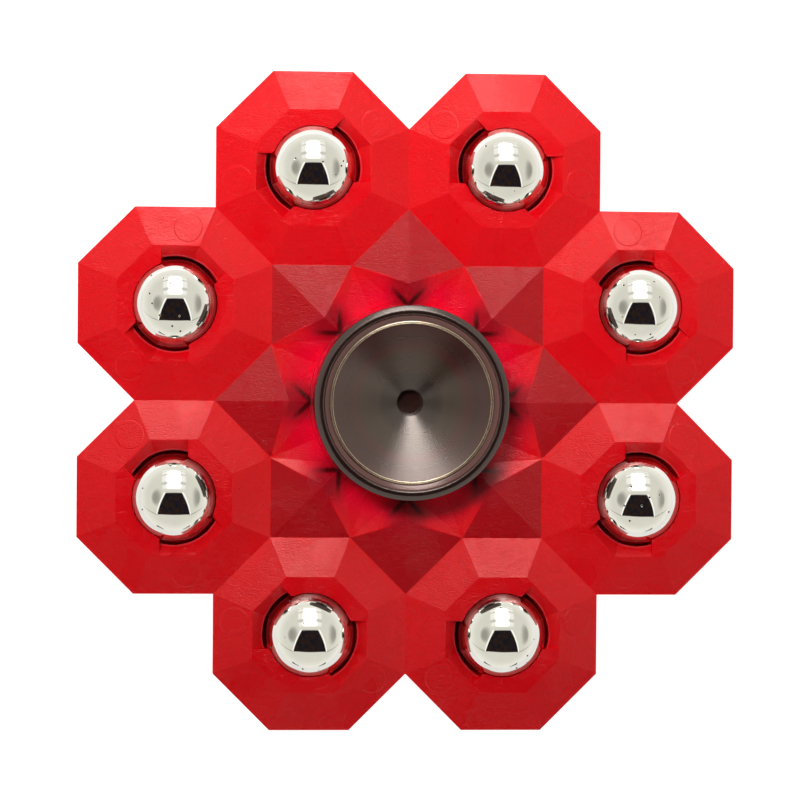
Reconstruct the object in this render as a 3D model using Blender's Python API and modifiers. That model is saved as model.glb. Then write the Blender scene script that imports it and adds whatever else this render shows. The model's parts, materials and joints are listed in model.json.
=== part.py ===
"""Eight-ball hand spinner: a faceted moulded body turning on a ball bearing between two finger caps.

Frame: origin on the spin axis at the body's mid-plane, +Z out of the front cap, metres.
The lobes are regular octagons in a ring, each sharing an edge with its two neighbours.
"""

import math

import bmesh
import bpy
from mathutils import Matrix, Vector

MM = 0.001

# Driving dimensions ---------------------------------------------------------------------------
LOBE_COUNT = 8
WEIGHT_BALL_RADIUS = 11.0 / 2 * MM
LOBE_APOTHEM = 11.4 * MM

BEARING_BORE_RADIUS = 4.0 * MM
BEARING_OUTER_RADIUS = 11.0 * MM
BEARING_HALF_WIDTH = 3.5 * MM
BEARING_BALL_RADIUS = 3.969 / 2 * MM
BEARING_BALL_COUNT = 7

CAP_OUTER_RADIUS = 11.38 * MM
CAP_TOP = 8.8 * MM
DISH_RADIUS = 9.25 * MM
DISH_HOLE_RADIUS = 1.48 * MM

PRESS_GAP = 0.15 * MM      # modelled gap where a real fit has none
FACE_GAP = 0.1 * MM        # modelled gap between flat faces that touch
RACE_GAP = 0.06 * MM       # gap between a rolling ball and its race

# Body -----------------------------------------------------------------------------------------
OCTAGON_HALF_ANGLE = math.pi / 8
LOBE_CORNER = LOBE_APOTHEM / math.cos(OCTAGON_HALF_ANGLE)
RING_RADIUS = LOBE_APOTHEM / math.sin(math.pi / LOBE_COUNT)
LOBE_HALF_EDGE = 1.0 * MM
RIM_APOTHEM = 0.6 * LOBE_APOTHEM
RIM_HEIGHT = 2.5 * MM
RIM_LAND = 0.12 * MM       # width of the flat on top of the rim

# Socket in a lobe
SOCKET_GAP = 0.08 * MM
LIP_RADIUS = 5.13 * MM
NOTCH_RADIUS = WEIGHT_BALL_RADIUS + 0.12 * MM
NOTCH_HEIGHT = 1.5 * MM
NOTCH_FLOOR = -0.3 * MM
FUNNEL_OVERRUN = 1.0 * MM
NOTCH_SIDE_OFFSET = 1.65 * MM

# Star round the hub
STAR_PEAK_RADIUS = 14.0 * MM
STAR_PEAK_HEIGHT = 2.1 * MM
SLEEVE_RADIUS = BEARING_OUTER_RADIUS + 0.6 * MM
SLEEVE_HEIGHT = 2.4 * MM
STAR_FOOT_HIGH = 0.8 * MM
STAR_FOOT_LOW = 0.5 * MM
STAR_FOOT_RADIUS = BEARING_OUTER_RADIUS - 0.5 * MM

# Bearing --------------------------------------------------------------------------------------
PITCH_RADIUS = (BEARING_BORE_RADIUS + BEARING_OUTER_RADIUS) / 2
RACE_RADIUS = BEARING_BALL_RADIUS + RACE_GAP
INNER_SHOULDER = 6.05 * MM
OUTER_SHOULDER = 8.95 * MM
SHIELD_SEAT = 9.6 * MM
SHIELD_SEAT_DEPTH = 0.75 * MM
SHIELD_THICKNESS = 0.25 * MM
SHIELD_INNER_GAP = 0.2 * MM
RING_CHAMFER = 0.3 * MM
CAGE_INNER = PITCH_RADIUS - 0.5 * MM
CAGE_OUTER = PITCH_RADIUS + 0.5 * MM
CAGE_HALF_WIDTH = 2.55 * MM
POCKET_RADIUS = BEARING_BALL_RADIUS + 0.12 * MM

# Caps -----------------------------------------------------------------------------------------
CAP_UNDERSIDE = BEARING_HALF_WIDTH + 1.1 * MM
CAP_FOOT_RADIUS = 5.6 * MM
POST_RADIUS = BEARING_BORE_RADIUS - PRESS_GAP
POST_END = 0.15 * MM
RIM_FLAT_INNER = 10.3 * MM
RIM_FLAT_OUTER = 10.95 * MM
RIM_SOFTENING = 0.35 * MM
DISH_EDGE_HEIGHT = CAP_TOP - 0.6 * MM
DISH_BOTTOM_HEIGHT = CAP_TOP - 3.8 * MM
BEAD_WIDTH = 0.21 * MM
BEAD_HEIGHT = 0.1 * MM
DISH_HOLE_FLOOR = CAP_TOP - 5.2 * MM
STUD_RADIUS = 1.7 * MM
STUD_END = 1.9 * MM
STUD_GAP = 0.15 * MM

# Mesh settings --------------------------------------------------------------------------------
RING_SEGMENTS = 40
CAGE_SEGMENTS = 42
BORE_SEGMENTS = 64
SOCKET_SEGMENTS = 32
RACE_STEPS = 6
SHARP_ANGLE = math.radians(30)
MERGE_DISTANCE = 1e-7
SLIVER = 2e-6
COLLECTION_NAME = "eight_ball_hand_spinner"


# Scene ----------------------------------------------------------------------------------------
def clear_scene():
    for item in list(bpy.data.objects):
        bpy.data.objects.remove(item, do_unlink=True)


def new_collection(name):
    collection = bpy.data.collections.new(name)
    bpy.context.scene.collection.children.link(collection)
    return collection


def make_material(name, color, roughness, metallic):
    material = bpy.data.materials.new(name)
    material.use_nodes = True
    shader = material.node_tree.nodes["Principled BSDF"]
    shader.inputs["Base Color"].default_value = (*color, 1.0)
    shader.inputs["Roughness"].default_value = roughness
    shader.inputs["Metallic"].default_value = metallic
    material.diffuse_color = (*color, 1.0)
    return material


def add_object(name, mesh, collection, material=None, parent=None, location=(0.0, 0.0, 0.0)):
    item = bpy.data.objects.new(name, mesh)
    collection.objects.link(item)
    item.location = location
    item.parent = parent
    if material and not mesh.materials:
        mesh.materials.append(material)
    return item


def add_empty(name, collection):
    """Empty at the origin: the parent of everything that turns together about the spin axis."""
    empty = bpy.data.objects.new(name, None)
    empty.empty_display_size = 5 * MM
    collection.objects.link(empty)
    return empty


# Meshes ---------------------------------------------------------------------------------------
def mesh_from_bmesh(name, working, smooth=False):
    bmesh.ops.recalc_face_normals(working, faces=working.faces)
    mesh = bpy.data.meshes.new(name)
    working.to_mesh(mesh)
    working.free()
    if smooth:
        mesh.shade_smooth()
        mesh.set_sharp_from_angle(angle=SHARP_ANGLE)
    return mesh


def evaluated_mesh(item, name):
    depsgraph = bpy.context.evaluated_depsgraph_get()
    mesh = bpy.data.meshes.new_from_object(item.evaluated_get(depsgraph), depsgraph=depsgraph,
                                           preserve_all_data_layers=True)
    mesh.name = name
    return mesh


def turned_mesh(name, profile, segments, smooth=True):
    """Solid made by turning a (radius, height) profile about Z with a Screw modifier.

    The profile runs down its outer side. It is closed into a ring unless it starts on the axis.
    """
    points = [(radius, 0.0, height) for radius, height in profile]
    edges = [(index, index + 1) for index in range(len(points) - 1)]
    if profile[0][0] > 0:
        edges.append((len(points) - 1, 0))
    mesh = bpy.data.meshes.new(name + "_profile")
    mesh.from_pydata(points, edges, [])
    item = bpy.data.objects.new(name, mesh)
    bpy.context.scene.collection.objects.link(item)
    screw = item.modifiers.new("turn", "SCREW")
    screw.steps = segments
    screw.render_steps = segments
    screw.use_merge_vertices = True
    screw.merge_threshold = MERGE_DISTANCE
    working = bmesh.new()
    turned = evaluated_mesh(item, name)
    working.from_mesh(turned)
    bpy.data.objects.remove(item, do_unlink=True)
    bpy.data.meshes.remove(turned)
    bmesh.ops.remove_doubles(working, verts=working.verts, dist=MERGE_DISTANCE)
    return mesh_from_bmesh(name, working, smooth)


def sphere_mesh(name, radius, segments, rings, center=(0.0, 0.0, 0.0)):
    working = bmesh.new()
    bmesh.ops.create_uvsphere(working, u_segments=segments, v_segments=rings, radius=radius,
                              matrix=Matrix.Translation(center))
    return mesh_from_bmesh(name, working, smooth=True)


def combine(first, second, operation):
    """Result of one Boolean between two meshes, as a new mesh.

    It is worked out with millimetres as units, far above the solver's own tolerances.
    """
    collection = bpy.context.scene.collection
    enlarge = Matrix.Scale(1 / MM, 4)
    item = add_object(first.name, turned_copy(first, enlarge), collection)
    tool = add_object(second.name, turned_copy(second, enlarge), collection)
    boolean = item.modifiers.new("combine", "BOOLEAN")
    boolean.operation = operation
    boolean.solver = "MANIFOLD"
    boolean.object = tool
    result = evaluated_mesh(item, first.name)
    result.transform(enlarge.inverted())
    bpy.data.objects.remove(item, do_unlink=True)
    bpy.data.objects.remove(tool, do_unlink=True)
    return result


def turned_copy(mesh, matrix):
    copy = mesh.copy()
    copy.transform(matrix)
    return copy


# Body -----------------------------------------------------------------------------------------
class FacetedShell:
    """Closed shell of flat facets whose corners are shared by position."""

    def __init__(self):
        self.working = bmesh.new()
        self.corners = {}

    def corner(self, where):
        key = tuple(round(value / MERGE_DISTANCE) for value in where)
        if key not in self.corners:
            self.corners[key] = self.working.verts.new(where)
        return self.corners[key]

    def facet(self, *places):
        self.working.faces.new([self.corner(where) for where in places])


def around_axis(angle, radius, height):
    return Vector((radius * math.cos(angle), radius * math.sin(angle), height))


def lobe_corner(lobe, corner, apothem, height):
    """Corner of an octagon about a lobe's centre; corner 0 points away from the spin axis."""
    angle = lobe_angle(lobe)
    radius = apothem / math.cos(OCTAGON_HALF_ANGLE)
    center = around_axis(angle, RING_RADIUS, height)
    return center + around_axis(angle + corner * math.tau / 8, radius, 0.0)


def lobe_angle(lobe):
    return (lobe + 0.5) * math.tau / LOBE_COUNT


def add_lobe(shell, lobe):
    """One lobe: sloping facets from the edge up to the rim, on both sides, and its outer walls."""
    for side in (1, -1):
        edge = [lobe_corner(lobe, k, LOBE_APOTHEM, side * LOBE_HALF_EDGE) for k in range(8)]
        rim = [lobe_corner(lobe, k, RIM_APOTHEM, side * RIM_HEIGHT) for k in range(8)]
        shell.facet(*rim)
        for k in range(8):
            following = (k + 1) % 8
            shell.facet(edge[k], edge[following], rim[following], rim[k])
    for k in (-2, -1, 0, 1):
        wall = [lobe_corner(lobe, k + step, LOBE_APOTHEM, side * LOBE_HALF_EDGE)
                for step, side in ((0, 1), (0, -1), (1, -1), (1, 1))]
        shell.facet(*wall)


def add_star_point(shell, lobe):
    """The point of the star between this lobe and the next: a raised kite and its inner slopes."""
    middle = lobe_angle(lobe + 0.5)
    for side in (1, -1):
        outer = lobe_corner(lobe, 3, LOBE_APOTHEM, side * LOBE_HALF_EDGE)
        peak = around_axis(middle, STAR_PEAK_RADIUS, side * STAR_PEAK_HEIGHT)
        foot = around_axis(middle, STAR_FOOT_RADIUS, side * STAR_FOOT_HIGH)
        for beside in (lobe, lobe + 1):
            valley = lobe_corner(beside, 4, LOBE_APOTHEM, side * LOBE_HALF_EDGE)
            low_foot = around_axis(lobe_angle(beside), STAR_FOOT_RADIUS, side * STAR_FOOT_LOW)
            shell.facet(outer, peak, valley)
            shell.facet(peak, foot, valley)
            shell.facet(foot, low_foot, valley)
    for beside in (lobe, lobe + 1):
        wall = [around_axis(middle, STAR_FOOT_RADIUS, side * STAR_FOOT_HIGH) for side in (1, -1)]
        wall += [around_axis(lobe_angle(beside), STAR_FOOT_RADIUS, side * STAR_FOOT_LOW)
                 for side in (-1, 1)]
        shell.facet(*wall)


def body_shell():
    shell = FacetedShell()
    for lobe in range(LOBE_COUNT):
        add_lobe(shell, lobe)
        add_star_point(shell, lobe)
    return mesh_from_bmesh("body_shell", shell.working)


def funnel_mesh(name, foot_apothem, foot_height):
    """Eight-sided funnel below a lobe's rim, through the given foot, run on past both ends."""
    mouth = RIM_APOTHEM - RIM_LAND
    slope = (mouth - foot_apothem) / (RIM_HEIGHT - foot_height)
    top = RIM_HEIGHT + FUNNEL_OVERRUN
    bottom = foot_height - FUNNEL_OVERRUN
    to_corner = 1 / math.cos(OCTAGON_HALF_ANGLE)
    profile = [(0.0, top), ((mouth + slope * FUNNEL_OVERRUN) * to_corner, top),
               ((foot_apothem - slope * FUNNEL_OVERRUN) * to_corner, bottom), (0.0, bottom)]
    return turned_mesh(name, profile, 8, smooth=False)


def notch_wedge(turn):
    """Prism whose two sides stand square on the octagon edges beside the notch's middle."""
    apex = -NOTCH_SIDE_OFFSET / math.sin(OCTAGON_HALF_ANGLE)
    reach = 3 * NOTCH_RADIUS
    half_width = (reach - apex) * math.tan(OCTAGON_HALF_ANGLE)
    working = bmesh.new()
    outline = ((apex, 0.0), (reach, -half_width), (reach, half_width))
    base = working.faces.new([working.verts.new((x, y, 2 * NOTCH_FLOOR)) for x, y in outline])
    grown = bmesh.ops.extrude_face_region(working, geom=[base])
    lifted = [item for item in grown["geom"] if isinstance(item, bmesh.types.BMVert)]
    bmesh.ops.translate(working, verts=lifted, vec=(0.0, 0.0, 3 * RIM_HEIGHT))
    bmesh.ops.rotate(working, verts=working.verts, matrix=Matrix.Rotation(turn, 3, "Z"))
    return mesh_from_bmesh("notch_wedge", working)


def socket_side():
    """What one side of a socket takes out of a lobe: the lips' round mouth and two notches."""
    top = RIM_HEIGHT + FUNNEL_OVERRUN / 2
    cut = turned_mesh("lip_throat", [(0.0, top), (LIP_RADIUS, top), (LIP_RADIUS, 0.0), (0.0, 0.0)],
                      SOCKET_SEGMENTS)
    funnel = funnel_mesh("notch_funnel", NOTCH_RADIUS, NOTCH_HEIGHT)
    well = turned_mesh("notch_well", [(0.0, RIM_HEIGHT), (NOTCH_RADIUS, RIM_HEIGHT),
                                      (NOTCH_RADIUS, NOTCH_FLOOR), (0.0, NOTCH_FLOOR)], SOCKET_SEGMENTS)
    notches = combine(funnel, well, "UNION")
    for turn in (math.pi / 2, -math.pi / 2):
        cut = combine(cut, combine(notches, notch_wedge(turn), "INTERSECT"), "UNION")
    return cut


def socket_mesh():
    """Full socket cutter about a lobe's centre: both sides and the ball's own hollow."""
    front = socket_side()
    turned_over = Matrix.Rotation(math.pi / 2, 4, "Z") @ Matrix.Rotation(math.pi, 4, "X")
    rear = turned_copy(front, turned_over)
    hollow = sphere_mesh("ball_hollow", WEIGHT_BALL_RADIUS + SOCKET_GAP, SOCKET_SEGMENTS,
                         SOCKET_SEGMENTS // 2)
    return combine(combine(hollow, front, "UNION"), rear, "UNION")


def add_weld(item):
    """Merge the slivers that a Boolean leaves where two cutters nearly share a corner."""
    weld = item.modifiers.new("weld", "WELD")
    weld.merge_threshold = SLIVER


def lobe_center(lobe):
    return around_axis(lobe_angle(lobe), RING_RADIUS, 0.0)


def build_body(collection, cutters, parent):
    plastic = make_material("red_plastic", (0.75, 0.01, 0.02), 0.3, 0.0)
    sleeve = turned_mesh("sleeve", [(0.0, SLEEVE_HEIGHT), (SLEEVE_RADIUS, SLEEVE_HEIGHT),
                                    (SLEEVE_RADIUS, -SLEEVE_HEIGHT), (0.0, -SLEEVE_HEIGHT)],
                         BORE_SEGMENTS, smooth=False)
    bore_radius = BEARING_OUTER_RADIUS + PRESS_GAP
    bore = turned_mesh("bore", [(0.0, RIM_HEIGHT), (bore_radius, RIM_HEIGHT),
                                (bore_radius, -RIM_HEIGHT), (0.0, -RIM_HEIGHT)], BORE_SEGMENTS)
    solid = combine(combine(body_shell(), sleeve, "UNION"), bore, "DIFFERENCE")
    body = add_object("spinner_body", solid, collection, plastic, parent)
    cutter_mesh = socket_mesh()
    for lobe in range(LOBE_COUNT):
        cutter = add_object("socket_cutter_%d" % (lobe + 1), cutter_mesh, cutters,
                            location=lobe_center(lobe))
        cutter.rotation_euler.z = lobe_angle(lobe)
        cutter.hide_render = True
        cutter.display_type = "WIRE"
    sockets = body.modifiers.new("sockets", "BOOLEAN")
    sockets.operation = "DIFFERENCE"
    sockets.solver = "MANIFOLD"
    sockets.operand_type = "COLLECTION"
    sockets.collection = cutters
    add_weld(body)


def build_weight_balls(collection, parent):
    steel = make_material("polished_ball_steel", (0.82, 0.82, 0.8), 0.04, 1.0)
    mesh = sphere_mesh("weight_ball", WEIGHT_BALL_RADIUS, 16, 10)
    for lobe in range(LOBE_COUNT):
        add_object("weight_ball_%d" % (lobe + 1), mesh, collection, steel, parent, lobe_center(lobe))


# Bearing --------------------------------------------------------------------------------------
def race_arc(outward):
    """Groove profile from top to bottom: outward is 1 on the outer ring and -1 on the inner."""
    half_angle = math.acos((OUTER_SHOULDER - PITCH_RADIUS) / RACE_RADIUS)
    points = []
    for step in range(RACE_STEPS + 1):
        angle = half_angle * (1 - 2 * step / RACE_STEPS)
        points.append((PITCH_RADIUS + outward * RACE_RADIUS * math.cos(angle),
                       RACE_RADIUS * math.sin(angle)))
    return points


def build_bearing_rings(collection, hub, rotor):
    steel = make_material("bearing_steel", (0.6, 0.6, 0.6), 0.2, 1.0)
    top = BEARING_HALF_WIDTH
    soft = top - RING_CHAMFER
    bore = BEARING_BORE_RADIUS
    inner = [(INNER_SHOULDER, top)] + race_arc(-1) + [(INNER_SHOULDER, -top)]
    inner += [(bore + RING_CHAMFER, -top), (bore, -soft), (bore, soft), (bore + RING_CHAMFER, top)]
    add_object("bearing_inner_ring", turned_mesh("inner_ring", inner, RING_SEGMENTS), collection,
               steel, hub)
    rim = BEARING_OUTER_RADIUS
    seat = top - SHIELD_SEAT_DEPTH
    outer = [(rim - RING_CHAMFER, top), (rim, soft), (rim, -soft), (rim - RING_CHAMFER, -top)]
    outer += [(SHIELD_SEAT, -top), (SHIELD_SEAT, -seat), (OUTER_SHOULDER, -seat)]
    outer += list(reversed(race_arc(1)))
    outer += [(OUTER_SHOULDER, seat), (SHIELD_SEAT, seat), (SHIELD_SEAT, top)]
    add_object("bearing_outer_ring", turned_mesh("outer_ring", outer, RING_SEGMENTS), collection,
               steel, rotor)


def build_shields(collection, parent):
    steel = make_material("shield_steel", (0.5, 0.5, 0.5), 0.35, 1.0)
    inside = BEARING_HALF_WIDTH - SHIELD_SEAT_DEPTH + FACE_GAP
    outside = inside + SHIELD_THICKNESS
    inner = INNER_SHOULDER + SHIELD_INNER_GAP
    outer = SHIELD_SEAT - FACE_GAP
    profile = [(inner, outside), (outer, outside), (outer, inside), (inner, inside)]
    front = turned_mesh("shield", profile, RING_SEGMENTS)
    rear = turned_copy(front, Matrix.Rotation(math.pi, 4, "X"))
    add_object("bearing_shield_front", front, collection, steel, parent)
    add_object("bearing_shield_rear", rear, collection, steel, parent)


def bearing_ball_center(index):
    return around_axis(index * math.tau / BEARING_BALL_COUNT, PITCH_RADIUS, 0.0)


def build_cage_and_balls(collection, cutters, parent):
    nylon = make_material("cage_nylon", (0.8, 0.76, 0.66), 0.5, 0.0)
    steel = make_material("bearing_ball_steel", (0.7, 0.7, 0.7), 0.1, 1.0)
    ring = turned_mesh("cage_ring", [(CAGE_OUTER, CAGE_HALF_WIDTH), (CAGE_OUTER, -CAGE_HALF_WIDTH),
                                     (CAGE_INNER, -CAGE_HALF_WIDTH), (CAGE_INNER, CAGE_HALF_WIDTH)],
                       CAGE_SEGMENTS, smooth=False)
    cage = add_object("bearing_cage", ring, collection, nylon, parent)
    pocket_mesh = sphere_mesh("pocket", POCKET_RADIUS, 12, 8)
    ball_mesh = sphere_mesh("bearing_ball", BEARING_BALL_RADIUS, 12, 8)
    for index in range(BEARING_BALL_COUNT):
        center = bearing_ball_center(index)
        add_object("bearing_ball_%d" % (index + 1), ball_mesh, collection, steel, parent, center)
        pocket = add_object("pocket_cutter_%d" % (index + 1), pocket_mesh, cutters, location=center)
        pocket.rotation_euler.z = index * math.tau / BEARING_BALL_COUNT
        pocket.hide_render = True
        pocket.display_type = "WIRE"
    pockets = cage.modifiers.new("pockets", "BOOLEAN")
    pockets.operation = "DIFFERENCE"
    pockets.solver = "EXACT"
    pockets.operand_type = "COLLECTION"
    pockets.collection = cutters
    add_weld(cage)


# Caps -----------------------------------------------------------------------------------------
def dish_profile():
    """Cap profile from its axis out over the dish and the rim, then in below it to the post."""
    bead = DISH_RADIUS + BEAD_WIDTH
    return [(0.0, DISH_HOLE_FLOOR), (DISH_HOLE_RADIUS, DISH_HOLE_FLOOR),
            (DISH_HOLE_RADIUS, DISH_BOTTOM_HEIGHT), (DISH_RADIUS, DISH_EDGE_HEIGHT),
            (DISH_RADIUS + BEAD_WIDTH / 2, DISH_EDGE_HEIGHT + BEAD_HEIGHT), (bead, DISH_EDGE_HEIGHT),
            (RIM_FLAT_INNER - RIM_SOFTENING / 2, CAP_TOP - RIM_SOFTENING), (RIM_FLAT_INNER, CAP_TOP),
            (RIM_FLAT_OUTER, CAP_TOP), (CAP_OUTER_RADIUS, CAP_TOP - RIM_SOFTENING),
            (CAP_OUTER_RADIUS, CAP_UNDERSIDE + RIM_SOFTENING),
            (CAP_OUTER_RADIUS - RIM_SOFTENING, CAP_UNDERSIDE), (CAP_FOOT_RADIUS, CAP_UNDERSIDE),
            (CAP_FOOT_RADIUS, BEARING_HALF_WIDTH + FACE_GAP),
            (POST_RADIUS, BEARING_HALF_WIDTH + FACE_GAP), (POST_RADIUS, POST_END + RIM_SOFTENING),
            (POST_RADIUS - RIM_SOFTENING, POST_END)]


def build_caps(collection, parent):
    smoked = make_material("smoked_plastic", (0.1, 0.08, 0.07), 0.15, 0.0)
    socket_radius = STUD_RADIUS + STUD_GAP
    socket_end = STUD_END + 2 * STUD_GAP
    front = dish_profile() + [(socket_radius, POST_END), (socket_radius, socket_end), (0.0, socket_end)]
    add_object("front_cap", turned_mesh("front_cap", front, RING_SEGMENTS), collection, smoked, parent)
    rear = dish_profile() + [(STUD_RADIUS, POST_END), (STUD_RADIUS, -STUD_END), (0.0, -STUD_END)]
    flipped = turned_mesh("rear_cap", rear, RING_SEGMENTS)
    flipped.transform(Matrix.Rotation(math.pi, 4, "X"))
    add_object("rear_cap", flipped, collection, smoked, parent)


def main():
    clear_scene()
    spinner = new_collection(COLLECTION_NAME)
    socket_cutters = new_collection("socket_cutters")
    pocket_cutters = new_collection("pocket_cutters")
    hub = add_empty("hub", spinner)
    rotor = add_empty("rotor", spinner)
    cage = add_empty("cage", spinner)
    build_body(spinner, socket_cutters, rotor)
    build_weight_balls(spinner, rotor)
    build_bearing_rings(spinner, hub, rotor)
    build_shields(spinner, rotor)
    build_cage_and_balls(spinner, pocket_cutters, cage)
    build_caps(spinner, hub)


main()
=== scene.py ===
"""Looks of the eight-ball hand spinner: red moulding, mirror steel balls, smoked finger caps.

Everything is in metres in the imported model's frame: spin axis on Z, body mid-plane at z = 0.
"""
import json
import math

import bmesh
import bpy
from mathutils import Euler, Matrix, Vector


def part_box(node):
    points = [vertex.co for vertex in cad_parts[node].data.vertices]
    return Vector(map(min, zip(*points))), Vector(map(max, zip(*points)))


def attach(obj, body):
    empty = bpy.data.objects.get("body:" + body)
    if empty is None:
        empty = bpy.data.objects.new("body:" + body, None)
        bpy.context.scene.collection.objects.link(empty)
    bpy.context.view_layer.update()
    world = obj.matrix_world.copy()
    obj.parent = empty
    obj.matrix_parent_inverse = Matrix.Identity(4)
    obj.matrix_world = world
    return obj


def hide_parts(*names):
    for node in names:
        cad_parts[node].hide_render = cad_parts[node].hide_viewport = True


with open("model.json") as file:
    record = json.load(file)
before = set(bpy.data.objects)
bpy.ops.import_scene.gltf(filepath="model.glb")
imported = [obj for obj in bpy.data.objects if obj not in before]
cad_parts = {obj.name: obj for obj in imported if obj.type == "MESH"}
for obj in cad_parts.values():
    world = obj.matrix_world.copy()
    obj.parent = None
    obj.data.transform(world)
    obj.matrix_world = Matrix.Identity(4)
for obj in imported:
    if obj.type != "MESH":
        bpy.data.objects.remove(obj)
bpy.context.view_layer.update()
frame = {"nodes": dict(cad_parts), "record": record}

MM = 0.001
LOBES = 8
NODES = frame["nodes"]

# Measures read from the frame ------------------------------------------------------------------
ball_low, ball_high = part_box("weight_ball_1")
_cap_low, cap_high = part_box("front_cap")
_ring_low, ring_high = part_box("bearing_outer_ring")
BALL_RADIUS = (ball_high.z - ball_low.z) / 2
CAP_TOP = cap_high.z
CAP_RADIUS = cap_high.x
RING_HALF_WIDTH = ring_high.z
OBJECT_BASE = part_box("rear_cap")[0].z
LOBE_RING_RADIUS = math.hypot(*((ball_low + ball_high) / 2).xy)

# Measures of the visual model ------------------------------------------------------------------
# The moulding: lip and socket radii are from a lobe's own axis, heights from the mid-plane
LOBE_APOTHEM = 11.4 * MM
LIP_RADIUS = 5.13 * MM
LIP_CLOSED = 4.98 * MM
LIP_MATCH = 0.02 * MM
LIP_LOWEST = 2.4 * MM
SOCKET_WALL = 5.62 * MM
FACET_TOLERANCE = math.radians(0.5)
EDGE_ANGLE = math.radians(12)
EDGE_ROUNDING = 0.11 * MM

# Balls
BALL_SEGMENTS, BALL_RINGS = 96, 48

# Finger caps: gold bead standing in for the dish's edge highlights, dish and its hole, rim, foot
# on the bearing, post, bore and stud
BEAD_INNER = 9.20 * MM
BEAD_OUTER = 9.50 * MM
BEAD_MIDDLE = (BEAD_INNER + BEAD_OUTER) / 2
BEAD_LIFT = 0.01 * MM
BEAD_SUNK = 0.04 * MM
BEAD_STEPS = 8
DISH_EDGE = CAP_TOP - 0.6 * MM
DISH_BOTTOM = CAP_TOP - 3.8 * MM
HOLE_RADIUS = 1.48 * MM
HOLE_FLOOR = CAP_TOP - 5.2 * MM
LEDGE_RADIUS, LEDGE_DROP = 9.62 * MM, 0.05 * MM
SHOULDER_RADIUS, SHOULDER_DROP = 10.15 * MM, 0.28 * MM
RIM_INNER = 10.35 * MM
RIM_OUTER = 10.8 * MM
CHAMFER = 0.35 * MM
CAP_UNDERSIDE = RING_HALF_WIDTH + 1.1 * MM
CAP_FOOT = RING_HALF_WIDTH + 0.1 * MM
FOOT_RADIUS = 5.6 * MM
POST_RADIUS = 3.85 * MM
POST_END = 0.15 * MM
BORE_RADIUS, BORE_FLOOR = 1.85 * MM, 2.2 * MM
STUD_RADIUS, STUD_END = 1.7 * MM, -1.9 * MM
CORNER_ROUNDING = 0.12 * MM
CORNER_SHARE = 0.4
CAP_STEPS = 160
SMOOTH_ANGLE = math.radians(35)

# Marks in the red plastic: painted shade at the star points and in the crease at the foot of each,
# a painted highlight on the socket brinks, a painted tint by the hub, and the ejector pins. A mark
# is absent at a pair's first value and full at its second.
# BRINK_LINE is different: it holds the two sides of its line.
CREASE_RADIUS = 11.4 * MM
CREASE_LEAN = math.radians(43)
CREASE_LINE = (0.50 * MM, 0.05 * MM)
CREASE_START = (-0.35 * MM, 0.15 * MM)
CREASE_FADE = (3.7 * MM, 1.2 * MM)
PIN_REACH = 9.05 * MM
PIN_ANGLE = math.radians(77)
PIN_RADIUS = 1.65 * MM
PIN_SOFT = 0.08 * MM
KITE_TIP = 14.25 * MM
KITE_SLANT = 0.28
KITE_EDGE = (-0.05 * MM, 0.08 * MM)
STAR_EDGE = (LOBE_APOTHEM, LOBE_APOTHEM + 0.08 * MM)
VALLEY_EDGE = (3.4 * MM, 0.8 * MM)
VALLEY_DEPTH = 1.15
# Painted tint of the cap's shade: the red is drawn more magenta near the hub
HUB_PAINTED_TINT = (17.0 * MM, 12.5 * MM)
BRINK_HEIGHT = (2.1 * MM, 1.9 * MM)
BRINK_LINE = (SOCKET_WALL + 0.03 * MM, SOCKET_WALL + 0.14 * MM)
BRINK_SOFT = 0.03 * MM

# Marks on the steel balls and the cap: a painted reflection on each ball's skirt towards the hub
# and the notches, pits, fine rings in the cap, and painted shade in the bead's groove
SKIRT_BY_HUB = (0.3 * MM, 3.4 * MM)
SKIRT_BY_NOTCH = (0.76, 0.86)
SKIRT_HEIGHT_BY_HUB = (3.5 * MM, 2.7 * MM)
SKIRT_HEIGHT_BY_NOTCH = (3.0 * MM, 2.5 * MM)
PIT_CHOICE = (0.50, 0.52)
PIT_EDGE = (0.13, 0.08)
CAP_RING_PITCH = 0.30 * MM
CAP_RINGS_END = (6.0 * MM, 4.6 * MM)
BEAD_GROOVE_HALF = 0.035 * MM
BEAD_GROOVE_SOFT = 0.02 * MM


# Colours ---------------------------------------------------------------------------------------
def grey(value):
    return (value, value, value, 1.0)


RED_DULL = (0.84, 0.0, 0.004, 1.0)
RED_BRIGHT = (0.95, 0.0, 0.008, 1.0)
# Painted tint of the cap's shade: the red is drawn more magenta near the hub
RED_PAINTED_HUB_TINT = (0.92, 0.0, 0.035, 1.0)
RED_SPECKLE = (0.46, 0.0, 0.003, 1.0)
# Painted shade on the star points between the lobes
RED_STAR_SHADE = (0.22, 0.004, 0.008, 1.0)
# Painted highlight along the socket brinks
RED_BRINK_HIGHLIGHT = (0.95, 0.10, 0.11, 1.0)
# Painted shade in the crease at the foot of each star point
RED_CREASE_SHADE = (0.03, 0.0, 0.0, 1.0)
STEEL_DULL = (0.66, 0.65, 0.60, 1.0)
STEEL_BRIGHT = (0.76, 0.75, 0.70, 1.0)
# Painted reflection: the dark red skirt of each ball towards the hub and the notches
STEEL_SKIRT_REFLECTION = (0.15, 0.085, 0.085, 1.0)
STEEL_PIT = (0.05, 0.04, 0.03, 1.0)
SMOKE_MOTTLE = (0.05, 0.022, 0.018, 1.0)
SMOKE_SHEEN = (1.0, 0.86, 0.80, 1.0)
# The bead's gold stands in for the bright edge highlights round the dish
GOLD_DULL = (0.60, 0.45, 0.30, 1.0)
GOLD_BRIGHT = (0.85, 0.72, 0.55, 1.0)
# Painted shade in the groove between the bead's ridges
GOLD_GROOVE_SHADE = (0.06, 0.02, 0.015, 1.0)
NYLON_DULL = (0.62, 0.56, 0.42, 1.0)
NYLON_BRIGHT = (0.75, 0.70, 0.58, 1.0)

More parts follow.
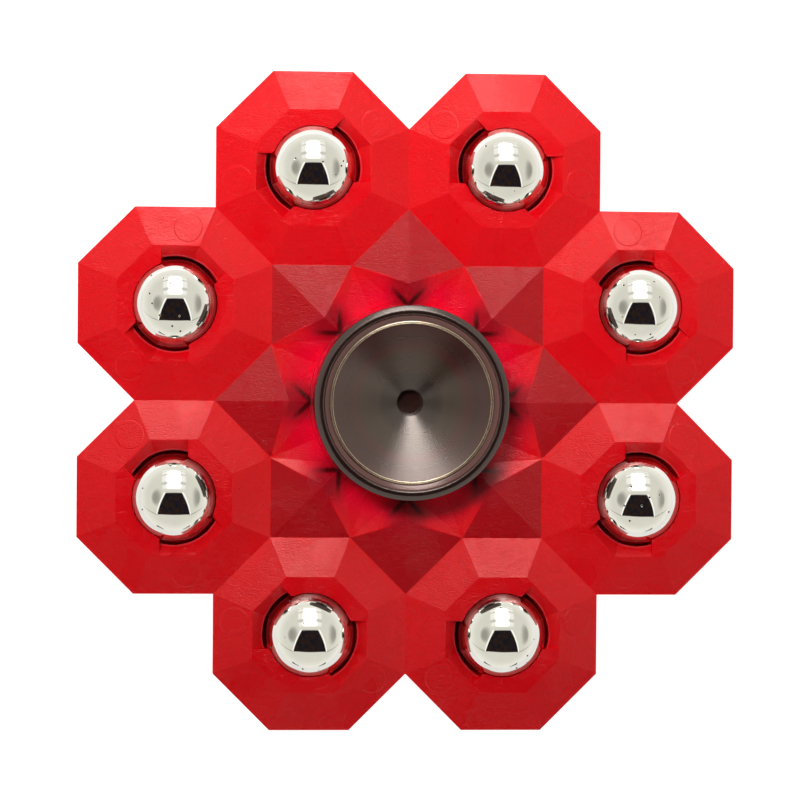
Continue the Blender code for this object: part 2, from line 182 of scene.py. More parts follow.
# Smoked plastic by radius in millimetres: hole, dish over the steel, over the red, rim. These
# zones paint in what would show through the smoke.
SMOKE_ZONES = (
    (0.0, (0.020, 0.006, 0.004)), (1.35, (0.020, 0.006, 0.004)), (1.60, (0.008, 0.004, 0.003)),
    (3.2, (0.012, 0.008, 0.006)), (4.0, (0.040, 0.026, 0.016)), (5.6, (0.042, 0.026, 0.017)),
    (6.6, (0.062, 0.014, 0.012)), (7.6, (0.040, 0.013, 0.011)), (9.1, (0.052, 0.015, 0.013)),
    (10.1, (0.120, 0.016, 0.013)), (10.4, (0.018, 0.007, 0.006)))


# Node helpers ----------------------------------------------------------------------------------
class Tree:
    """Short-hand for building a shader tree."""

    def __init__(self, tree):
        self.tree = tree

    def node(self, kind, **settings):
        made = self.tree.nodes.new(kind)
        for key, value in settings.items():
            setattr(made, key, value)
        return made

    def link(self, source, target):
        self.tree.links.new(source, target)

    def feed(self, target, value):
        if isinstance(value, bpy.types.NodeSocket):
            self.link(value, target)
        else:
            target.default_value = value

    def math(self, operation, first, second=0.0, third=None):
        made = self.node("ShaderNodeMath", operation=operation)
        self.feed(made.inputs[0], first)
        self.feed(made.inputs[1], second)
        if third is not None:
            self.feed(made.inputs[2], third)
        return made.outputs[0]

    def step(self, value, low, high):
        """0 below low, 1 above high, smooth between; low above high turns it round."""
        made = self.node("ShaderNodeMapRange", interpolation_type="SMOOTHSTEP")
        self.feed(made.inputs["Value"], value)
        made.inputs["From Min"].default_value = low
        made.inputs["From Max"].default_value = high
        return made.outputs["Result"]

    def band(self, value, low, high, soft):
        """1 between low and high with soft shoulders."""
        rise = self.step(value, low - soft, low + soft)
        fall = self.step(value, high - soft, high + soft)
        return self.math("SUBTRACT", rise, fall)

    def mix_color(self, factor, first, second):
        made = self.node("ShaderNodeMix", data_type="RGBA")
        self.feed(made.inputs["Factor"], factor)
        self.feed(made.inputs["A"], first)
        self.feed(made.inputs["B"], second)
        return made.outputs["Result"]

    def ramp(self, value, stops):
        made = self.node("ShaderNodeValToRGB")
        elements = made.color_ramp.elements
        while len(elements) < len(stops):
            elements.new(0.5)
        for element, (place, color) in zip(elements, stops):
            element.position = place
            element.color = (*color, 1.0)
        self.feed(made.inputs["Fac"], value)
        return made.outputs["Color"]

    def noise(self, vector, scale, detail=2.0, roughness=0.5, distortion=0.0):
        made = self.node("ShaderNodeTexNoise")
        self.feed(made.inputs["Vector"], vector)
        made.inputs["Scale"].default_value = scale
        made.inputs["Detail"].default_value = detail
        made.inputs["Roughness"].default_value = roughness
        made.inputs["Distortion"].default_value = distortion
        return made.outputs["Fac"]

    def object_coordinates(self):
        return self.node("ShaderNodeTexCoord").outputs["Object"]

    def split(self, vector):
        made = self.node("ShaderNodeSeparateXYZ")
        self.feed(made.inputs[0], vector)
        return made.outputs

    def join(self, x, y, z):
        made = self.node("ShaderNodeCombineXYZ")
        for socket, value in zip(made.inputs, (x, y, z)):
            self.feed(socket, value)
        return made.outputs[0]

    def bump(self, height, strength, distance, normal=None):
        made = self.node("ShaderNodeBump")
        made.inputs["Strength"].default_value = strength
        made.inputs["Distance"].default_value = distance
        self.feed(made.inputs["Height"], height)
        if normal is not None:
            self.link(normal, made.inputs["Normal"])
        return made.outputs["Normal"]

    def length(self, x, y):
        """Square root of x squared plus y squared."""
        square = self.math("ADD", self.math("MULTIPLY", x, x), self.math("MULTIPLY", y, y))
        return self.math("SQRT", square)

    def along_and_across(self, radius, turned):
        """Where a point at this radius and angle lies, along the zero direction and across it."""
        return (self.math("MULTIPLY", radius, self.math("COSINE", turned)),
                self.math("MULTIPLY", radius, self.math("SINE", turned)))

    def folded_angle(self, angle, middle):
        """Angle in radians measured from the nearest of eight directions, the first at middle."""
        turns = self.math("DIVIDE", self.math("SUBTRACT", angle, middle), math.tau / LOBES)
        return self.math("MULTIPLY", self.math("SUBTRACT", turns, self.math("ROUND", turns)),
                         math.tau / LOBES)

    def radius_and_angle(self):
        """Distance from the spin axis in metres, and the angle about it in radians."""
        x, y, _z = self.split(self.object_coordinates())
        return self.length(x, y), self.math("ARCTAN2", y, x)


def new_material(name, **sockets):
    """Material with one Principled shader; constants go straight on its sockets."""
    material = bpy.data.materials.new(name)
    material.use_nodes = True
    tree = Tree(material.node_tree)
    shader = material.node_tree.nodes["Principled BSDF"]
    for key, value in sockets.items():
        shader.inputs[key.replace("_", " ")].default_value = value
    return material, tree, shader


# Materials -------------------------------------------------------------------------------------
# Noise scales are in cells per metre, and bump distances in metres.
def painted_crease_shade(tree, radius, angle):
    """Painted shade: a dark V at the foot of each star point, along the crease there."""
    folded = tree.folded_angle(angle, 0.0)
    along_point, across_point = tree.along_and_across(radius, folded)
    outward = tree.math("SUBTRACT", along_point, CREASE_RADIUS)
    aside = tree.math("ABSOLUTE", across_point)
    lean_sin, lean_cos = math.sin(CREASE_LEAN), math.cos(CREASE_LEAN)
    off_line = tree.math("SUBTRACT", tree.math("MULTIPLY", aside, lean_cos),
                         tree.math("MULTIPLY", outward, lean_sin))
    along_line = tree.math("ADD", tree.math("MULTIPLY", outward, lean_cos),
                           tree.math("MULTIPLY", aside, lean_sin))
    line = tree.step(tree.math("ABSOLUTE", off_line), *CREASE_LINE)
    start = tree.step(along_line, *CREASE_START)
    fade = tree.step(along_line, *CREASE_FADE)
    return tree.math("MULTIPLY", line, tree.math("MULTIPLY", start, fade))


def pin_marks(tree, radius, angle):
    """Height of the two faint round ejector marks on each lobe, 1 inside and 0 outside."""
    folded = tree.folded_angle(angle, math.pi / LOBES)
    along, across = tree.along_and_across(radius, folded)
    x = tree.math("SUBTRACT", along, LOBE_RING_RADIUS + PIN_REACH * math.cos(PIN_ANGLE))
    y = tree.math("SUBTRACT", tree.math("ABSOLUTE", across), PIN_REACH * math.sin(PIN_ANGLE))
    return tree.step(tree.length(x, y), PIN_RADIUS + PIN_SOFT, PIN_RADIUS - PIN_SOFT)


def star_shade(tree, radius, angle):
    """Painted shade on the thin star points between the lobes: how much darker they are drawn than
    the lobes, 0 to 1.
    """
    outward, across = tree.along_and_across(radius, tree.folded_angle(angle, 0.0))
    aside = tree.math("ABSOLUTE", across)
    half_turn = math.pi / LOBES
    along_lobe, across_lobe = tree.along_and_across(radius, tree.folded_angle(angle, half_turn))
    back = tree.math("SUBTRACT", LOBE_RING_RADIUS, along_lobe)
    beside = tree.math("ABSOLUTE", across_lobe)
    blunt = tree.math("ADD", tree.math("MULTIPLY", back, math.cos(half_turn)),
                      tree.math("MULTIPLY", beside, math.sin(half_turn)))
    steep = tree.math("ADD", tree.math("MULTIPLY", back, math.sin(half_turn)),
                      tree.math("MULTIPLY", beside, math.cos(half_turn)))
    beyond = tree.step(tree.math("MAXIMUM", blunt, steep), *STAR_EDGE)
    tip = tree.math("MULTIPLY_ADD", aside, KITE_SLANT, KITE_TIP)
    kite = tree.step(tree.math("SUBTRACT", outward, tip), *KITE_EDGE)
    valley = tree.math("MULTIPLY", tree.step(aside, *VALLEY_EDGE), VALLEY_DEPTH)
    inner = tree.math("MULTIPLY", tree.math("SUBTRACT", 1.0, kite), valley)
    return tree.math("MULTIPLY", beyond, tree.math("ADD", kite, inner))


def lobe_distance(tree, radius, angle):
    """Distance from the nearest lobe's own axis in metres."""
    folded = tree.folded_angle(angle, math.pi / LOBES)
    along, across = tree.along_and_across(radius, folded)
    return tree.length(tree.math("SUBTRACT", along, LOBE_RING_RADIUS), across)


def red_plastic():
    """Translucent moulding: cloudy red, painted shade on the star points and in the crease at
    each, a painted highlight on the socket brinks and a painted tint by the hub.
    """
    material, tree, shader = new_material(
        "red_plastic", IOR=1.46, Subsurface_Weight=0.35,
        Subsurface_Radius=(1.2 * MM, 0.06 * MM, 0.06 * MM), Subsurface_Scale=1.0,
        Specular_IOR_Level=0.42)
    place = tree.object_coordinates()
    radius, angle = tree.radius_and_angle()
    x, y, z = tree.split(place)

    cloud = tree.noise(place, 140.0, detail=3.0)
    outer = tree.mix_color(cloud, RED_DULL, RED_BRIGHT)
    # Painted tint of the cap's shade: the red is drawn more magenta near the hub
    painted_hub_tint = tree.math("MULTIPLY", tree.step(radius, *HUB_PAINTED_TINT), 0.8)
    plain = tree.mix_color(painted_hub_tint, outer, RED_PAINTED_HUB_TINT)
    speckle = tree.step(tree.noise(place, 5600.0, detail=2.0, roughness=0.7), 0.36, 0.62)
    grainy = tree.mix_color(tree.math("MULTIPLY_ADD", speckle, -0.22, 0.22), plain, RED_SPECKLE)
    # Painted shade on the star points between the lobes
    shade = tree.math("MULTIPLY", star_shade(tree, radius, angle), 0.55)
    shaded = tree.mix_color(shade, grainy, RED_STAR_SHADE)
    # Painted highlight on the socket brinks below the plateau
    below_plateau = tree.step(tree.math("ABSOLUTE", z), *BRINK_HEIGHT)
    brink_line = tree.band(lobe_distance(tree, radius, angle), *BRINK_LINE, BRINK_SOFT)
    brink_highlight = tree.math("MULTIPLY", tree.math("MULTIPLY", below_plateau, 0.6), brink_line)
    highlighted = tree.mix_color(brink_highlight, shaded, RED_BRINK_HIGHLIGHT)
    # Painted shade: a dark V in the crease at the foot of each star point
    creases = tree.math("MULTIPLY", painted_crease_shade(tree, radius, angle), 0.9)
    tree.link(tree.mix_color(creases, highlighted, RED_CREASE_SHADE), shader.inputs["Base Color"])

    stretched = tree.join(tree.math("MULTIPLY", x, 0.3), y, z)
    drawn = tree.noise(stretched, 4200.0, detail=2.0, distortion=1.5)
    patches = tree.step(tree.noise(place, 210.0, detail=2.0), 0.25, 0.80)
    relief = tree.math("MULTIPLY", drawn, tree.math("MULTIPLY_ADD", patches, 0.8, 0.35))
    coarse = tree.bump(relief, 0.8, 0.09 * MM)
    fine = tree.bump(tree.noise(place, 7000.0, detail=2.0), 0.4, 0.04 * MM, coarse)
    pins = tree.bump(pin_marks(tree, radius, angle), 0.8, 0.05 * MM, fine)
    tree.link(pins, shader.inputs["Normal"])
    tree.link(tree.math("MULTIPLY_ADD", patches, 0.05, 0.26), shader.inputs["Roughness"])
    return material


def ball_steel():
    """Mirror steel with a few black pits, a faint rubbed haze and a painted reflection: a darker,
    redder skirt towards the hub and the notches.
    """
    material, tree, shader = new_material("ball_steel", Metallic=1.0, Roughness=0.05)
    place = tree.object_coordinates()
    cells = tree.node("ShaderNodeTexVoronoi", feature="F1")
    tree.feed(cells.inputs["Vector"], place)
    cells.inputs["Scale"].default_value = 900.0
    chosen = tree.step(tree.split(cells.outputs["Color"])[0], *PIT_CHOICE)
    pit = tree.math("MULTIPLY", chosen, tree.step(cells.outputs["Distance"], *PIT_EDGE))
    haze = tree.noise(place, 420.0, detail=4.0)
    bare_steel = tree.mix_color(haze, STEEL_DULL, STEEL_BRIGHT)

    # Painted reflection: each ball's skirt is drawn darker and redder towards the hub and the
    # notches, where the shaded plastic would show in the steel
    radius, angle = tree.radius_and_angle()
    folded = tree.folded_angle(angle, math.pi / LOBES)
    along, across = tree.along_and_across(radius, folded)
    inward = tree.math("SUBTRACT", LOBE_RING_RADIUS, along)
    reach = tree.math("MAXIMUM", lobe_distance(tree, radius, angle), 0.1 * MM)
    share = tree.math("DIVIDE", tree.math("ABSOLUTE", across), reach)
    rise = tree.math("ABSOLUTE", tree.split(place)[2])
    by_hub = tree.math("MULTIPLY", tree.step(rise, *SKIRT_HEIGHT_BY_HUB),
                       tree.step(inward, *SKIRT_BY_HUB))
    by_notch = tree.math("MULTIPLY", tree.step(rise, *SKIRT_HEIGHT_BY_NOTCH),
                         tree.step(share, *SKIRT_BY_NOTCH))
    skirt = tree.math("MULTIPLY", tree.math("MAXIMUM", by_hub, by_notch), 0.8)
    with_reflection = tree.mix_color(skirt, bare_steel, STEEL_SKIRT_REFLECTION)
    tree.link(tree.mix_color(pit, with_reflection, STEEL_PIT), shader.inputs["Base Color"])

    rough = tree.math("MULTIPLY_ADD", tree.step(haze, 0.45, 0.8), 0.08, 0.03)
    tree.link(tree.math("MULTIPLY_ADD", pit, 0.4, rough), shader.inputs["Roughness"])
    tree.link(tree.bump(tree.math("SUBTRACT", 1.0, pit), 0.6, 0.05 * MM), shader.inputs["Normal"])
    return material


def smoked_cap():
    """Smoked plastic, drawn opaque: colour zones round the axis paint in the bearing rings and the
    red body that would show through it.
    """
    material, tree, shader = new_material("cap_smoke", Roughness=0.20, IOR=1.5,
                                          Specular_IOR_Level=0.9)
    shader.inputs["Specular Tint"].default_value = SMOKE_SHEEN
    radius, _angle = tree.radius_and_angle()
    place = tree.object_coordinates()
    # Painted see-through: the zones stand in for the bearing rings and the red body under the
    # smoke
    stops = [(reach * MM / CAP_RADIUS, color) for reach, color in SMOKE_ZONES]
    zone = tree.ramp(tree.math("DIVIDE", radius, CAP_RADIUS), stops)
    mottle = tree.noise(place, 300.0, detail=3.0)
    tree.link(tree.mix_color(tree.math("MULTIPLY", mottle, 0.35), zone, SMOKE_MOTTLE),
              shader.inputs["Base Color"])
    rings = tree.math("SINE", tree.math("MULTIPLY", radius, math.tau / CAP_RING_PITCH))
    inner_rings = tree.math("MULTIPLY", rings, tree.step(radius, *CAP_RINGS_END))
    grooves = tree.bump(inner_rings, 0.12, 0.012 * MM)
    grain = tree.noise(place, 7000.0, detail=2.0)
    tree.link(tree.bump(grain, 0.55, 0.04 * MM, grooves), shader.inputs["Normal"])
    tree.link(tree.math("MULTIPLY_ADD", mottle, 0.08, 0.10), shader.inputs["Roughness"])
    return material


def rim_bead_highlight():
    """Gold metal bead, standing in for the bright edge highlights round the dish, with painted
    shade in the groove between its two ridges.
    """
    material, tree, shader = new_material("rim_bead_highlight", Metallic=1.0, Roughness=0.18)
    tone = tree.noise(tree.object_coordinates(), 500.0, detail=2.0)
    gold = tree.mix_color(tone, GOLD_DULL, GOLD_BRIGHT)
    # Painted shade in the groove between the two ridges
    radius, _angle = tree.radius_and_angle()
    groove = tree.band(radius, BEAD_MIDDLE - BEAD_GROOVE_HALF, BEAD_MIDDLE + BEAD_GROOVE_HALF,
                       BEAD_GROOVE_SOFT)
    tree.link(tree.mix_color(groove, gold, GOLD_GROOVE_SHADE), shader.inputs["Base Color"])
    return material


def turned_steel(name, light, dark, roughness):
    """Ground bearing steel with fine rings about the axis."""
    material, tree, shader = new_material(name, Metallic=1.0, Roughness=roughness)
    radius, _angle = tree.radius_and_angle()
    place = tree.object_coordinates()
    height = tree.split(place)[2]
    ring_place = tree.join(radius, height, 0.0)
    lines = tree.noise(ring_place, 9000.0, detail=3.0)
    tree.link(tree.mix_color(lines, dark, light), shader.inputs["Base Color"])
    tree.link(tree.bump(lines, 0.2, 0.01 * MM), shader.inputs["Normal"])
    wear = tree.noise(place, 350.0, detail=3.0)
    tree.link(tree.math("MULTIPLY_ADD", wear, 0.15, roughness), shader.inputs["Roughness"])
    return material


def cage_nylon():
    """Cream nylon of the bearing's cage."""
    material, tree, shader = new_material("cage_nylon", Roughness=0.5, Subsurface_Weight=0.2,
                                          Subsurface_Radius=(1.0 * MM, 0.7 * MM, 0.4 * MM))
    tone = tree.noise(tree.object_coordinates(), 600.0, detail=3.0)
    tree.link(tree.mix_color(tone, NYLON_DULL, NYLON_BRIGHT), shader.inputs["Base Color"])
    tree.link(tree.bump(tone, 0.2, 0.02 * MM), shader.inputs["Normal"])
    return material


def table_top():
    """Pale floor that glows by itself, so that it stays plain and nearly white."""
    material, tree, shader = new_material("table", Roughness=0.9, Emission_Strength=0.97,
                                          Specular_IOR_Level=0.1)
    shader.inputs["Emission Color"].default_value = grey(1.0)
    tone = tree.noise(tree.object_coordinates(), 30.0, detail=2.0)
    tree.link(tree.mix_color(tone, grey(0.30), grey(0.33)), shader.inputs["Base Color"])
    return material


# Shapes ----------------------------------------------------------------------------------------
def link_object(name, mesh, material):
    """New scene object with this mesh and only this material."""
    item = bpy.data.objects.new(name, mesh)
    bpy.context.scene.collection.objects.link(item)
    mesh.materials.clear()
    mesh.materials.append(material)
    return item


def turned_mesh(name, profile, steps, closed):
    """Profile of (radius, height) points turned about Z; points at radius 0 close on the axis."""
    working = bmesh.new()
    columns = []
    for index in range(steps):
        angle = index * math.tau / steps
        column = []
        for radius, height in profile:
            if radius == 0.0 and columns:
                column.append(columns[0][len(column)])
            else:
                where = (radius * math.cos(angle), radius * math.sin(angle), height)
                column.append(working.verts.new(where))
        columns.append(column)
    pairs = [(k, k + 1) for k in range(len(profile) - 1)]
    if closed:
        pairs.append((len(profile) - 1, 0))
    for index in range(steps):
        here = columns[index]
        there = columns[(index + 1) % steps]
        for low, high in pairs:
            corners = []
            for corner in (here[low], there[low], there[high], here[high]):
                if corner not in corners:
                    corners.append(corner)
            if len(corners) > 2:
                working.faces.new(corners)
    bmesh.ops.recalc_face_normals(working, faces=working.faces)
    mesh = bpy.data.meshes.new(name)
    working.to_mesh(mesh)
    working.free()
    mesh.shade_smooth()
    mesh.set_sharp_from_angle(angle=SMOOTH_ANGLE)
    return mesh


def rounded(profile, radius, steps=4):
    """The same closed or open outline with every inner corner turned into a short arc."""
    result = [profile[0]]
    for before, corner, after in zip(profile, profile[1:], profile[2:]):
        corner_v = Vector(corner)
        into = Vector(before) - corner_v
        out = Vector(after) - corner_v
        reach = min(radius, into.length * CORNER_SHARE, out.length * CORNER_SHARE)
        start = corner_v + into.normalized() * reach
        end = corner_v + out.normalized() * reach
        for step in range(steps + 1):
            blend = step / steps
            first = start.lerp(corner_v, blend)
            second = corner_v.lerp(end, blend)
            result.append(tuple(first.lerp(second, blend)))
    result.append(profile[-1])
    return result


def sphere_mesh(name, radius, segments, rings):
    """Smooth ball about the origin. Its points and faces may come in another order each run."""
    working = bmesh.new()
    bmesh.ops.create_uvsphere(working, u_segments=segments, v_segments=rings, radius=radius)
    mesh = bpy.data.meshes.new(name)
    working.to_mesh(mesh)
    working.free()
    mesh.shade_smooth()
    return mesh


# Pieces ----------------------------------------------------------------------------------------
def close_lips(mesh):
    """Bring the free edge of each flat lip in to a hair's breadth from its ball."""
    for index in range(LOBES):
        angle = (index + 0.5) * math.tau / LOBES
        middle = Vector((math.cos(angle), math.sin(angle))) * LOBE_RING_RADIUS
        for vertex in mesh.vertices:
            outward = vertex.co.xy - middle
            on_lip = abs(outward.length - LIP_RADIUS) < LIP_MATCH
            if on_lip and abs(vertex.co.z) > LIP_LOWEST:
                vertex.co.xy = middle + outward.normalized() * LIP_CLOSED


def build_body(material):
    """The moulding is the CAD shape with its facets flattened and its edges slightly rounded."""
    mesh = NODES["spinner_body"].data.copy()
    mesh.shade_flat()
    close_lips(mesh)
    body = link_object("moulded_body", mesh, material)
    flatten = body.modifiers.new("flatten", "DECIMATE")
    flatten.decimate_type = "DISSOLVE"
    flatten.angle_limit = FACET_TOLERANCE
    soften = body.modifiers.new("soften", "BEVEL")
    soften.width = EDGE_ROUNDING
    soften.segments = 2
    soften.limit_method = "ANGLE"
    soften.angle_limit = EDGE_ANGLE
    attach(body, "rotor")
    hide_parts("spinner_body")


def build_balls(material):
    """Each ball's mesh is made in place, so the pits fall differently on every ball."""
    for number in range(1, LOBES + 1):
        node = "weight_ball_%d" % number
        low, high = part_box(node)
        mesh = sphere_mesh("weight_ball_surface", BALL_RADIUS, BALL_SEGMENTS, BALL_RINGS)
        mesh.transform(Matrix.Translation((low + high) / 2))
        ball = link_object("steel_ball_%d" % number, mesh, material)
        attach(ball, "rotor")
        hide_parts(node)


def cap_profile(inside):
    """Section of a cap from the dish hole out over the rim, then in below to its post and stud."""
    shape = [(0.0, HOLE_FLOOR), (HOLE_RADIUS, HOLE_FLOOR), (HOLE_RADIUS, DISH_BOTTOM),
             (BEAD_INNER, DISH_EDGE), (BEAD_OUTER, DISH_EDGE),
             (LEDGE_RADIUS, DISH_EDGE - LEDGE_DROP), (SHOULDER_RADIUS, CAP_TOP - SHOULDER_DROP),
             (RIM_INNER, CAP_TOP), (RIM_OUTER, CAP_TOP),
             (CAP_RADIUS, CAP_TOP - CHAMFER), (CAP_RADIUS, CAP_UNDERSIDE + CHAMFER),
             (CAP_RADIUS - CHAMFER, CAP_UNDERSIDE), (FOOT_RADIUS, CAP_UNDERSIDE),
             (FOOT_RADIUS, CAP_FOOT), (POST_RADIUS, CAP_FOOT), (POST_RADIUS, POST_END + CHAMFER),
             (POST_RADIUS - CHAMFER, POST_END)]
    return rounded(shape + inside, CORNER_ROUNDING)


def bead_profile():
    """Two fine ridges side by side round the edge of the dish."""
    points = []
    quarter = (BEAD_OUTER - BEAD_INNER) / 4
    for center in (BEAD_MIDDLE + quarter, BEAD_MIDDLE - quarter):
        for step in range(BEAD_STEPS + 1):
            angle = math.pi * step / BEAD_STEPS
            height = DISH_EDGE + 0.5 * quarter * math.sin(angle) + BEAD_LIFT
            points.append((center + quarter * math.cos(angle), height))
    points.append((BEAD_INNER, DISH_EDGE - BEAD_SUNK))
    points.append((BEAD_OUTER, DISH_EDGE - BEAD_SUNK))
    return points


def build_caps(material, bead_material):
    """Front cap with a bored post, rear cap with a stud that fits it, and a bead on each."""
    bore = [(BORE_RADIUS, POST_END), (BORE_RADIUS, BORE_FLOOR), (0.0, BORE_FLOOR)]
    stud = [(STUD_RADIUS, POST_END), (STUD_RADIUS, STUD_END), (0.0, STUD_END)]
    over = Matrix.Rotation(math.pi, 4, "X")
    for side, inside, turn in (("front", bore, Matrix()), ("rear", stud, over)):
        mesh = turned_mesh(side + "_cap_surface", cap_profile(inside), CAP_STEPS, closed=False)
        mesh.transform(turn)
        cap = link_object(side + "_finger_cap", mesh, material)
        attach(cap, "hub")
        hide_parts(side + "_cap")
        edge = turned_mesh(side + "_bead_surface", bead_profile(), CAP_STEPS, closed=True)
        edge.transform(turn)
        bead = link_object(side + "_cap_bead", edge, bead_material)
        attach(bead, "hub")


def dress_bearing():
    """Finishes for the bearing's CAD nodes, by their slots."""
    finishes = {
        "bearing_steel": turned_steel("bearing_steel", grey(0.66), (0.42, 0.42, 0.43, 1.0), 0.16),
        "shield_steel": turned_steel("shield_steel", (0.55, 0.55, 0.56, 1.0),
                                     (0.38, 0.38, 0.39, 1.0), 0.28),
        "bearing_ball_steel": turned_steel("bearing_ball_steel", grey(0.8), grey(0.7), 0.05),
        "cage_nylon": cage_nylon()}
    for part in frame["record"]["subparts"]:
        finish = finishes.get(part["material_slot"])
        if finish:
            mesh = NODES[part["node"]].data
            mesh.materials.clear()
            mesh.materials.append(finish)


# Stage -----------------------------------------------------------------------------------------
CAMERA_PLACE = Vector((-31.4, 6.7, 394.4)) * MM
CAMERA_TURN = [math.radians(angle) for angle in (-0.975, -4.431, 0.445)]
CAMERA_LENS = 150.0
CAMERA_SENSOR = 36.0
CAMERA_NEAR = 0.01
FLOOR_HALF_SIDE = 2.0
FLOOR_CELLS = 8

KEY_PLACE = (-0.14, 0.20, 0.50)
KEY_AIM = Vector((-0.008, 0.220, 0.0))
KEY_POWER = 13.8
KEY_CONE = math.radians(54.7)
KEY_BLEND = 0.3
KEY_RADIUS = 0.09

# Brightness of what the tent shows, of the even fill and of the backdrop
PANEL_GLOW = 10.0
TENT_FILL = 0.17
BACKDROP = 0.86
WALL_LOW = (1.18, 1.17, 1.10, 1.0)
WALL_HIGH = (0.93, 0.92, 0.84, 1.0)
WALL_SEAM = (0.12, 0.11, 0.10, 1.0)
WALL_BLOTCH = (0.12, 0.11, 0.09, 1.0)
PANEL_FOLD = (0.80, 0.79, 0.74, 1.0)
PANEL_FACE = (1.25, 1.24, 1.18, 1.0)
FRAME_EDGE = (1.5, 1.5, 1.45, 1.0)
CEILING = ((0.40, (0.034, 0.018, 0.011)), (0.60, (0.012, 0.012, 0.020)))

# Soft blotches on the walls: middle across, reach and depth
BLOTCHES = ((-1.05, 0.34, 0.62), (1.9, 0.9, 0.60))


def add_camera():
    """Camera over the object, at a small tilt."""
    data = bpy.data.cameras.new("camera")
    data.lens = CAMERA_LENS
    data.sensor_width = CAMERA_SENSOR
    data.clip_start = CAMERA_NEAR
    camera = bpy.data.objects.new("camera", data)
    camera.location = CAMERA_PLACE
    camera.rotation_euler = Euler(CAMERA_TURN)
    bpy.context.scene.collection.objects.link(camera)
    bpy.context.scene.camera = camera


def add_floor():
    """Plain pale floor, 4 m on a side, that the rear cap stands on."""
    working = bmesh.new()
    bmesh.ops.create_grid(working, x_segments=FLOOR_CELLS, y_segments=FLOOR_CELLS,
                          size=FLOOR_HALF_SIDE)
    mesh = bpy.data.meshes.new("floor")
    working.to_mesh(mesh)
    working.free()
    floor = link_object("floor", mesh, table_top())
    floor.location.z = OBJECT_BASE


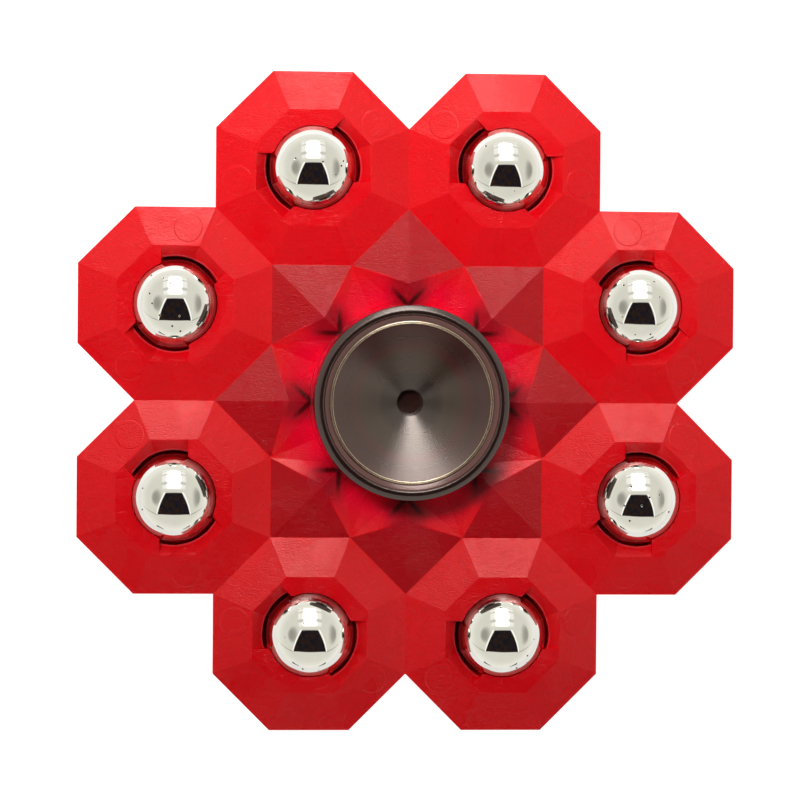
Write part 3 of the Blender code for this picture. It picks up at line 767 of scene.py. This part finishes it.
def tent_color(tree):
    """White tent: cream walls, a bright panel and a dark opening overhead.

    The tent is laid out on a flat sheet one unit overhead: along is y / z, across is |x| / z.
    """
    direction = tree.node("ShaderNodeTexCoord").outputs["Generated"]
    x, y, z = tree.split(direction)
    height = tree.math("MAXIMUM", z, 0.02)
    sideways = tree.math("DIVIDE", x, height)
    across = tree.math("ABSOLUTE", sideways)
    along = tree.math("DIVIDE", y, height)

    # The opening, a trapezoid with a bowed far side, and the bright frame down its edges
    opening_edge = tree.math("SUBTRACT", across, tree.math("MULTIPLY_ADD", along, -0.55, 0.50))
    bow = tree.math("MULTIPLY", tree.math("MULTIPLY", across, across), 0.23)
    far_side = tree.step(tree.math("ADD", along, bow), -0.96, -0.91)
    opening = tree.math("MULTIPLY", tree.step(opening_edge, 0.02, -0.02),
                        tree.math("MULTIPLY", tree.step(along, 0.25, 0.20), far_side))
    frame_edge = tree.band(opening_edge, 0.0, 0.10, 0.02)
    frame_line = tree.math("MULTIPLY", frame_edge, tree.band(along, -1.3, 0.25, 0.03))

    # The panel, its hot core and the folds across both
    panel_edge = tree.math("SUBTRACT", across, tree.math("MULTIPLY_ADD", along, 0.31, 0.40))
    panel = tree.math("MULTIPLY", tree.step(panel_edge, 0.12, -0.06),
                      tree.band(along, 0.42, 4.2, 0.10))
    core_edge = tree.math("SUBTRACT", across, tree.math("MULTIPLY_ADD", along, 0.14, 0.20))
    core = tree.math("MULTIPLY", tree.step(core_edge, 0.12, -0.12),
                     tree.band(along, 0.50, 2.6, 0.12))
    folds = tree.step(tree.math("SINE", tree.math("MULTIPLY", along, 6.0)), -0.95, -0.6)

    # The walls with a dark seam and two blotches
    walls = tree.mix_color(tree.step(z, -0.05, 0.45), WALL_LOW, WALL_HIGH)
    seam_rise = tree.math("ADD", along, tree.math("MULTIPLY", across, 0.17))
    seam = tree.math("MULTIPLY", tree.band(seam_rise, -1.12, -1.03, 0.03),
                     tree.step(across, 1.1, 1.3))
    walls = tree.mix_color(tree.math("MULTIPLY", seam, 0.8), walls, WALL_SEAM)
    for middle, reach, depth in BLOTCHES:
        side = tree.math("SUBTRACT", sideways, middle)
        away = tree.math("ADD", tree.math("MULTIPLY", side, side),
                         tree.math("MULTIPLY", along, along))
        blotch = tree.math("MULTIPLY", tree.step(away, reach, 0.0), depth)
        walls = tree.mix_color(blotch, walls, WALL_BLOTCH)

    glow = tree.mix_color(folds, PANEL_FOLD, PANEL_FACE)
    lit = tree.mix_color(panel, walls, glow)
    lit = tree.mix_color(tree.math("MULTIPLY", frame_line, 0.9), lit, FRAME_EDGE)
    banded = tree.math("MULTIPLY", core, tree.math("MULTIPLY_ADD", folds, 0.85, 0.15))
    hot = tree.mix_color(banded, lit, (PANEL_GLOW, PANEL_GLOW, PANEL_GLOW * 0.97, 1.0))
    ceiling = tree.ramp(tree.noise(direction, 7.0, detail=4.0), CEILING)
    return tree.mix_color(opening, hot, ceiling)


def add_world():
    """Reflections see the tent, the camera a pale backdrop, and the rest gets an even fill."""
    world = bpy.data.worlds.new("studio")
    bpy.context.scene.world = world
    world.use_nodes = True
    tree = Tree(world.node_tree)
    paths = tree.node("ShaderNodeLightPath").outputs
    plain = tree.mix_color(paths["Is Camera Ray"], grey(TENT_FILL), grey(BACKDROP))
    color = tree.mix_color(paths["Is Glossy Ray"], plain, tent_color(tree))
    tree.link(color, world.node_tree.nodes["Background"].inputs["Color"])


def add_light():
    """One soft spot gives the direct light. It fades towards the lobes at negative y."""
    data = bpy.data.lights.new("key", "SPOT")
    data.energy = KEY_POWER
    data.shadow_soft_size = KEY_RADIUS
    data.spot_size = KEY_CONE
    data.spot_blend = KEY_BLEND
    light = bpy.data.objects.new("key", data)
    light.location = KEY_PLACE
    light.rotation_euler = (light.location - KEY_AIM).to_track_quat("Z", "Y").to_euler()
    light.visible_glossy = False
    bpy.context.scene.collection.objects.link(light)


def main():
    scene = bpy.context.scene
    scene.view_settings.view_transform = "Standard"
    add_camera()
    add_world()
    add_floor()
    add_light()
    build_body(red_plastic())
    build_balls(ball_steel())
    build_caps(smoked_cap(), rim_bead_highlight())
    dress_bearing()


main()
